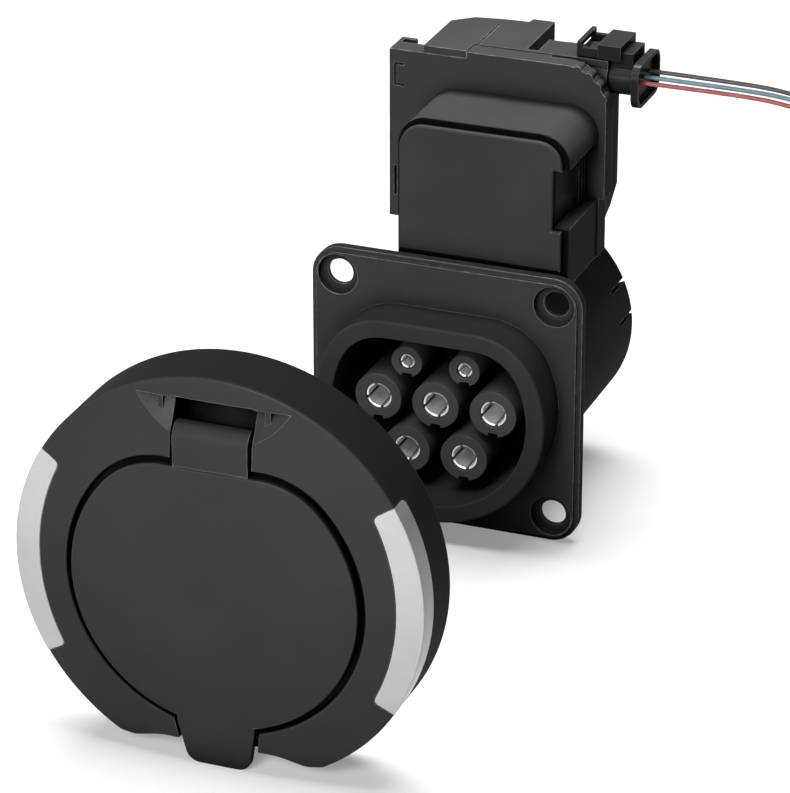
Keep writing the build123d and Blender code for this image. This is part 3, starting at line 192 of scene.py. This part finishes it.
def moulded(name, dark, light, wear_and_highlight, rough, grain=0.25, edge=0.0004, wear_and_highlight_share=0.5, gloss=0.14,
            deep=None, recess=None):
    """Moulded plastic: faint flow marks, a spark-eroded grain, handling marks and pale edges,
    partly scuffed and partly a painted highlight, with painted shade in the hollows.

    edge is the radius of the pale edges, wear how far they show the pale colour and gloss the
    weight of the coat on a flat face. recess is how far across a hollow may be to be darkened
    with painted shade. deep is (start, end, colour): along Y the surface turns to that colour from
    start to end, as painted shade.
    """
    n = Nodes(name)
    normal, edge_share = n.edges(edge)
    flow = n.spread(n.noise(38.0, 4.0, 0.6), 0.35, 0.68, 0.0, 1.0)
    colour = n.blend(flow, dark, light)
    rubbed_and_highlight = n.spread(n.noise(420.0, 3.0, 0.7), 0.42, 0.66, 0.35, 1.0)
    rubbed_and_highlight = n.calc("MULTIPLY", n.calc("MULTIPLY", edge_share, rubbed_and_highlight), wear_and_highlight_share)
    # the edges turn to a pale colour, partly scuffing and partly a painted highlight
    if recess is None:
        colour = n.blend(rubbed_and_highlight, colour, wear_and_highlight)
    else:
        exposed = n.openness(recess)
        rubbed_and_highlight = n.calc("MULTIPLY", rubbed_and_highlight, exposed)
        colour = n.blend(rubbed_and_highlight, colour, wear_and_highlight)
        # painted shade: hollows darken towards a small share of the darkest colour
        colour = n.blend(exposed, tuple(PAINTED_RECESS_SHADE * part for part in dark), colour)
    # painted shade: along Y the surface turns to the dark colour given in deep
    if deep is not None:
        split = n.add("ShaderNodeSeparateXYZ")
        n.join(n.place(), split.inputs["Vector"])
        share = n.spread(split.outputs["Y"], deep[0], deep[1], 0.0, 1.0)
        colour = n.blend(share, colour, deep[2])
    marks = n.spread(n.noise(95.0, 5.0, 0.65), 0.3, 0.72, rough - SMOOTHER, rough + ROUGHER)
    marks = n.calc("SUBTRACT", marks, n.calc("MULTIPLY", rubbed_and_highlight, RUBBED_SMOOTH))
    coarse = n.calc("MULTIPLY", n.noise(520.0, 2.0, 0.5), 0.6)
    fine = n.calc("ADD", n.noise(2600.0, 2.0, 0.6), coarse)
    bumped = n.bump(fine, grain, GRAIN_DEPTH, normal)
    material = n.principled(colour, marks, bumped, Specular_IOR_Level=0.0,
                            Coat_Roughness=COAT_ROUGH)
    n.join(normal, n.shader.inputs["Coat Normal"])
    polish = n.calc("ADD", n.calc("MULTIPLY", rubbed_and_highlight, RUBBED_COAT), gloss)
    n.join(n.calc("MINIMUM", polish, 1.0), n.shader.inputs["Coat Weight"])
    return material


def metal(name, colour, dull, rough, stretch=(1.0, 1.0, 1.0), line_scale=900.0, metallic=1.0):
    """Turned, drawn or stamped metal: fine tool lines along one direction and dull patches."""
    n = Nodes(name)
    normal = n.edges(METAL_EDGE)[0]
    patches = n.spread(n.noise(160.0, 4.0, 0.6), 0.35, 0.7, 0.0, 1.0)
    tint = n.blend(patches, colour, dull)
    lines = n.noise(line_scale, 2.0, 0.5, stretch)
    shine = n.spread(patches, 0.0, 1.0, rough, rough + 0.12)
    bumped = n.bump(lines, 0.12, TOOL_LINE_DEPTH, normal)
    return n.principled(tint, shine, bumped, Metallic=metallic)


def housing_black(name, deep=None):
    """Glass-filled black of the socket and the actuator."""
    # pale edges: partly scuffing, partly a painted highlight; hollows get painted shade
    return moulded(name, (0.0330, 0.0332, 0.0336), (0.0390, 0.0392, 0.0396),
                   (0.420, 0.421, 0.424), 0.50, wear_and_highlight_share=1.0, gloss=0.045, edge=0.0003,
                   recess=8 * MM, deep=deep)


# the groove behind the cap's plate is deep in shadow; that shadow is painted near black on the
# plate's back and the case's front face: start and end along Y of that painted shade
GROOVE_PAINTED_SHADE = (0.0030, 0.0030, 0.0031)
PLATE_BACK = (5.3 * MM, 5.7 * MM)
CASE_FRONT = (7.4 * MM, 7.0 * MM)
housing = housing_black("housing_black")
cap_with_painted_groove = housing_black("cap_black", (*PLATE_BACK, GROOVE_PAINTED_SHADE))
case_with_painted_groove = housing_black("case_black", (*CASE_FRONT, GROOVE_PAINTED_SHADE))
# painted shade: the carrier darkens along Y from its tower fronts to near black deep in the cavity
carrier = moulded("carrier_black", (0.0600, 0.0602, 0.0606), (0.0680, 0.0682, 0.0686),
                  (0.120, 0.120, 0.122), 0.46, wear_and_highlight_share=0.6,
                  deep=(-10.2 * MM, 6.0 * MM, (0.0090, 0.0090, 0.0092)))
# pale edges: partly scuffing, partly a painted highlight; hollows get painted shade
cover_plastic = moulded("cover_black", (0.0360, 0.0362, 0.0366), (0.0420, 0.0422, 0.0426),
                        (0.380, 0.381, 0.384), 0.50, grain=0.3, wear_and_highlight_share=1.0, gloss=0.06, edge=0.0003,
                        recess=13 * MM)
# pale edges: partly scuffing, partly a painted highlight; hollows get painted shade
plug_plastic = moulded("plug_black", (0.0150, 0.0152, 0.0156), (0.0200, 0.0202, 0.0206),
                       (0.150, 0.150, 0.152), 0.42, grain=0.15, edge=0.0003, wear_and_highlight_share=0.85,
                       recess=4 * MM)
switch_plastic = moulded("switch_black", (0.018, 0.018, 0.019), (0.024, 0.024, 0.025),
                         (0.06, 0.06, 0.06), 0.4, edge=0.0002)
gear_plastic = moulded("gear_white", (0.60, 0.59, 0.54), (0.68, 0.67, 0.62), (0.74, 0.73, 0.68),
                       0.38, grain=0.12, edge=0.0002, wear_and_highlight_share=0.4, gloss=1.0)
window_plastic = moulded("window_light", (0.485, 0.494, 0.494), (0.540, 0.549, 0.549),
                         (0.78, 0.79, 0.79), 0.42, grain=0.16, edge=0.0006, wear_and_highlight_share=0.6, gloss=1.0)
rubber = moulded("seal_rubber", (0.012, 0.012, 0.012), (0.018, 0.018, 0.018),
                 (0.03, 0.03, 0.03), 0.68, grain=0.35, edge=0.0003, wear_and_highlight_share=0.2)
silver = metal("contact_silver", (0.90, 0.895, 0.88), (0.76, 0.75, 0.73), 0.32,
               (1.0, 60.0, 1.0), 60.0, metallic=0.72)
brass = metal("pin_brass", (0.78, 0.60, 0.28), (0.62, 0.47, 0.22), 0.24, (40.0, 1.0, 1.0), 60.0)
steel_can = metal("motor_steel", (0.55, 0.55, 0.56), (0.42, 0.42, 0.43), 0.30, (1.0, 0.05, 1.0))
steel_bolt = metal("bolt_steel", (0.56, 0.56, 0.57), (0.44, 0.44, 0.45), 0.22, (1.0, 1.0, 40.0))
steel_screw = metal("screw_steel", (0.50, 0.50, 0.51), (0.36, 0.36, 0.37), 0.30)
steel_spring = metal("spring_steel", (0.52, 0.52, 0.53), (0.40, 0.40, 0.41), 0.25,
                     (30.0, 1.0, 1.0))


def circuit_material():
    """Green lacquer over copper tracks on a glass-fibre board."""
    n = Nodes("board_green")
    cells = n.add("ShaderNodeTexBrick")
    cells.inputs["Scale"].default_value = 260.0
    cells.inputs["Mortar Size"].default_value = 0.02
    cells.inputs["Color1"].default_value = (0.010, 0.085, 0.030, 1.0)
    cells.inputs["Color2"].default_value = (0.016, 0.120, 0.045, 1.0)
    cells.inputs["Mortar"].default_value = (0.006, 0.050, 0.018, 1.0)
    n.join(n.place(), cells.inputs["Vector"])
    shine = n.spread(n.noise(300.0, 3.0), 0.3, 0.7, 0.25, 0.4)
    return n.principled(cells.outputs["Color"], shine, n.bump(cells.outputs["Fac"], 0.2, 0.00003))


board = circuit_material()


def insulation(name, colour, pale):
    """Extruded lead insulation with a faint lengthwise sheen and dust."""
    n = Nodes(name)
    dust = n.spread(n.noise(260.0, 4.0, 0.6), 0.4, 0.75, 0.0, 0.6)
    tint = n.blend(dust, colour, pale)
    shine = n.spread(n.noise(700.0, 3.0), 0.3, 0.7, 0.32, 0.46)
    return n.principled(tint, shine, n.bump(n.noise(2200.0, 2.0), 0.12, 0.00004))


lead_materials = {
    "red": insulation("lead_red", (0.48, 0.105, 0.105), (0.56, 0.22, 0.21)),
    "blue": insulation("lead_blue", (0.25, 0.40, 0.47), (0.36, 0.49, 0.54)),
    "black": insulation("lead_black", (0.090, 0.085, 0.095), (0.16, 0.155, 0.165)),
}

# The frame's own pieces
finishes = {
    "socket_housing": housing, "contact_carrier": carrier, "contact_towers": carrier,
    "contact_retainer": carrier,
    "rear_cap": housing, "actuator_case": case_with_painted_groove, "actuator_cover": cap_with_painted_groove,
    "actuator_frame": housing, "actuator_rear_housing": housing,
    "plug_housing": plug_plastic, "plug_latch": plug_plastic, "header_pins": brass,
    "gear_shaft": gear_plastic, "motor_pinion": gear_plastic, "motor": steel_can,
    "locking_bolt": steel_bolt, "bolt_guide": housing, "bolt_seal": rubber,
    "circuit_board": board, "position_switch": switch_plastic,
    "case_screws": steel_screw, "saddle_screws": steel_screw,
    "cover_ring": cover_plastic, "lid": cover_plastic, "lid_seal": rubber,
    "hinge_pin": steel_screw, "lid_spring": steel_spring, "threaded_inserts": brass,
    "light_window_left": window_plastic, "light_window_right": window_plastic,
}
for name in ("pe", "n", "l1", "l2", "l3", "cp", "pp"):
    finishes["contact_" + name] = silver
for name, material in finishes.items():
    slots = nodes[name].data.materials
    if not len(slots):
        slots.append(material)
    for i in range(len(slots)):
        slots[i] = material


# Floor of the hinge pocket
BROKEN_EDGE = 0.15  # millimetres


def block(name, low, high, material):
    """Box between two corners in millimetres, with its edges broken."""
    corners = [(x * MM, y * MM, z * MM) for x in (low[0], high[0]) for y in (low[1], high[1])
               for z in (low[2], high[2])]
    faces = [(0, 1, 3, 2), (4, 6, 7, 5), (0, 4, 5, 1), (2, 3, 7, 6), (0, 2, 6, 4), (1, 5, 7, 3)]
    mesh = bpy.data.meshes.new(name)
    mesh.from_pydata(corners, [], faces)
    mesh.materials.append(material)
    piece = bpy.data.objects.new(name, mesh)
    scene.collection.objects.link(piece)
    rounding = piece.modifiers.new("edges", "BEVEL")
    rounding.width = BROKEN_EDGE * MM
    rounding.segments = 2
    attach(piece, "socket")


# the pocket under the hinge is open between its ledge and its back wall, in millimetres
POCKET_LOW = (-14.8, -141.0, 41.4)
POCKET_HIGH = (5.8, -131.3, 42.9)
block("hinge_pocket_floor", POCKET_LOW, POCKET_HIGH, cover_plastic)

# Leads, in millimetres
LEAD_RADIUS = 0.6
COIL_RADIUS = 6.5
COIL_PITCH = 1.22
COIL_TURNS = 7
COIL_POINTS = 14  # points in each turn
COIL_OPEN = 4  # points that the last turn lacks
COIL_STEP = 60  # degrees round the core from one turn to the next
lead_routes = {
    "red": ((38.2, 38.2, 78.2), (58, 38.0, 78.4), (76, 37.6, 78.2), (89, 37.0, 75.5),
            (97.5, 36.2, 60), (98.5, 35.0, 33), (95.5, 33.4, 5), (93.8, 32.4, -13),
            (92.8, 30.4, -24.5), (92.6, 25.8, -32.6), (92.5, 19.0, -35.6)),
    "blue": ((38.2, 42.8, 78.2), (58, 42.9, 78.1), (76, 43.1, 77.7), (88.5, 43.4, 74.8),
             (97.5, 43.7, 58.5), (99, 44.7, 30), (95.5, 46.2, 2), (94, 46.5, -14.5),
             (93, 45.6, -25.5), (92.6, 42.5, -32.8), (92.5, 37.0, -35.6)),
    "black": ((38.2, 47.4, 78.2), (57, 47.7, 78), (74.5, 48.1, 77.4), (86.5, 48.8, 74),
              (95, 49.3, 57), (96, 49.4, 28), (92.6, 48.4, 1), (91.8, 47.8, -15),
              (91.9, 49.0, -26), (92.3, 52.4, -32.8), (92.5, 58.2, -35.6)),
}


def coil_points(end, way):
    """Six turns laid round the core of the coil and a seventh in its middle."""
    points = []
    for i in range(1, COIL_TURNS * COIL_POINTS - COIL_OPEN + 1):
        turn = i / COIL_POINTS
        angle = math.pi + way * 2 * math.pi * turn
        side = math.pi + math.radians(COIL_STEP) * turn
        reach = COIL_PITCH * max(0.0, min(1.0, COIL_TURNS - 1.0 - turn))
        radius = COIL_RADIUS + reach * math.cos(side)
        points.append((end[0] + COIL_RADIUS + radius * math.cos(angle),
                       end[1] + radius * math.sin(angle),
                       end[2] + reach * math.sin(side)))
    return points


def lead(colour):
    """One lead from the plug to the ground and round its coil, as one curve."""
    route = lead_routes[colour]
    way = -1 if colour == "black" else 1
    points = list(route) + coil_points(route[-1], way)
    curve = bpy.data.curves.new("lead_%s_wire" % colour, "CURVE")
    curve.dimensions = "3D"
    spline = curve.splines.new("NURBS")
    spline.points.add(len(points) - 1)
    for point, place in zip(spline.points, points):
        point.co = (place[0] * MM, place[1] * MM, place[2] * MM, 1.0)
    spline.order_u = 3
    spline.use_endpoint_u = True
    spline.resolution_u = 5
    curve.bevel_depth = LEAD_RADIUS * MM
    curve.bevel_resolution = 3
    curve.use_fill_caps = True
    curve.materials.append(lead_materials[colour])
    wire = bpy.data.objects.new("lead_%s_wire" % colour, curve)
    scene.collection.objects.link(wire)
    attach(wire, "socket")
    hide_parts("lead_" + colour, "lead_%s_coil" % colour)


for colour in lead_routes:
    lead(colour)

# Floor, world and lamps
FLOOR_HALF = 6  # metres from the middle to each side
FLOOR_BOUNCE = (0.10, 0.10, 0.10)  # what the floor sends back as diffuse light
FLOOR_SEEN = (0.62, 0.62, 0.62)  # what the camera, gloss and glass see of it
FLOOR_GLOW = 0.26
AMBIENT = 0.02
SEEN_RAYS = ("Is Camera Ray", "Is Glossy Ray", "Is Transmission Ray")


def seen_share(tree):
    """1 for what the camera, gloss and glass see, 0 for light that only bounces."""
    path = tree.nodes.new("ShaderNodeLightPath")
    seen = path.outputs[SEEN_RAYS[0]]
    for ray in SEEN_RAYS[1:]:
        either = tree.nodes.new("ShaderNodeMath")
        either.operation = "MAXIMUM"
        tree.links.new(seen, either.inputs[0])
        tree.links.new(path.outputs[ray], either.inputs[1])
        seen = either.outputs["Value"]
    return seen


def floor_material():
    """Pale where it is seen, with little light sent back up at the object."""
    n = Nodes("floor_pale")
    seen = seen_share(n.tree)
    diffuse = n.add("ShaderNodeBsdfDiffuse")
    n.join(n.blend(seen, FLOOR_BOUNCE, FLOOR_SEEN), diffuse.inputs["Color"])
    glow = n.add("ShaderNodeEmission")
    n.join(n.calc("MULTIPLY", seen, FLOOR_GLOW), glow.inputs["Strength"])
    both = n.add("ShaderNodeAddShader")
    n.join(diffuse.outputs["BSDF"], both.inputs[0])
    n.join(glow.outputs["Emission"], both.inputs[1])
    n.join(both.outputs["Shader"], n.output.inputs["Surface"])
    return n.material


def white_world():
    """White where it is seen, and a faint even light on the object."""
    world = bpy.data.worlds.new("world")
    world.use_nodes = True
    tree = world.node_tree
    tree.nodes.clear()
    strength = tree.nodes.new("ShaderNodeMapRange")
    strength.inputs["To Min"].default_value = AMBIENT
    strength.inputs["To Max"].default_value = 1.0
    tree.links.new(seen_share(tree), strength.inputs["Value"])
    background = tree.nodes.new("ShaderNodeBackground")
    background.inputs["Color"].default_value = (1.0, 1.0, 1.0, 1.0)
    tree.links.new(strength.outputs["Result"], background.inputs["Strength"])
    output = tree.nodes.new("ShaderNodeOutputWorld")
    tree.links.new(background.outputs["Background"], output.inputs["Surface"])
    return world


floor_mesh = bpy.data.meshes.new("floor")
floor_corners = [(x * FLOOR_HALF, y * FLOOR_HALF, FLOOR_Z)
                 for x, y in ((-1, -1), (1, -1), (1, 1), (-1, 1))]
floor_mesh.from_pydata(floor_corners, [], [(0, 1, 2, 3)])
floor_mesh.materials.append(floor_material())
floor = bpy.data.objects.new("floor", floor_mesh)
scene.collection.objects.link(floor)
scene.world = white_world()


def lamp(name, place, target, size, power, spread=180.0):
    """Square soft lamp, in metres, watts and degrees; a narrow spread keeps its light together."""
    data = bpy.data.lights.new(name, "AREA")
    data.size = size
    data.energy = power
    data.spread = math.radians(spread)
    light = bpy.data.objects.new(name, data)
    scene.collection.objects.link(light)
    light.location = place
    light.rotation_mode = "QUATERNION"
    light.rotation_quaternion = (Vector(target) - Vector(place)).to_track_quat("-Z", "Y")
    light.visible_camera = False
    return light


def only_on(light, objects):
    """Keep a lamp's light on the named objects, as a flag or a snoot in the studio does."""
    group = bpy.data.collections.new(light.name + "_only")
    for thing in objects:
        group.objects.link(thing)
    light.light_linking.receiver_collection = group


ACTUATOR = ("actuator_cover", "actuator_case", "actuator_frame", "actuator_rear_housing",
            "plug_housing", "plug_latch", "case_screws", "saddle_screws")
LOOSE_COVER = ("cover_ring", "lid", "lid_seal", "hinge_pin", "lid_spring", "threaded_inserts",
               "light_window_left", "light_window_right")
actuator_parts = [nodes[name] for name in ACTUATOR]
contact_parts = [nodes[name] for name in finishes if name.startswith("contact_")
                 and finishes[name] is silver]
socket_parts = [nodes[name] for name in finishes if name not in LOOSE_COVER]
MIDDLE = (0.0, -0.05, 0.03)

lamp("key", (0.10, -1.35, 0.60), MIDDLE, 0.7, 7.8)
lamp("low_front", (-0.25, -1.30, 0.02), MIDDLE, 0.5, 1.8)
lamp("cover_top", (-0.03, -0.46, 0.20), (0.0, -0.14, 0.060), 0.12, 0.105, 50.0)
only_on(lamp("socket_front", (-0.05, -0.80, 1.15), MIDDLE, 0.5, 12.0), socket_parts)
only_on(lamp("over_actuator", (-0.10, 0.30, 0.85), (0.0, 0.04, 0.07), 0.28, 1.0, 40.0),
        actuator_parts)
only_on(lamp("contacts", (0.30, -0.90, 0.42), (0.0, 0.0, 0.0), 0.25, 5.0), contact_parts)
only_on(lamp("floor_light", (-0.12, 0.20, 1.30), (-0.08, 0.20, 0.0), 1.2, 36.0), [floor])
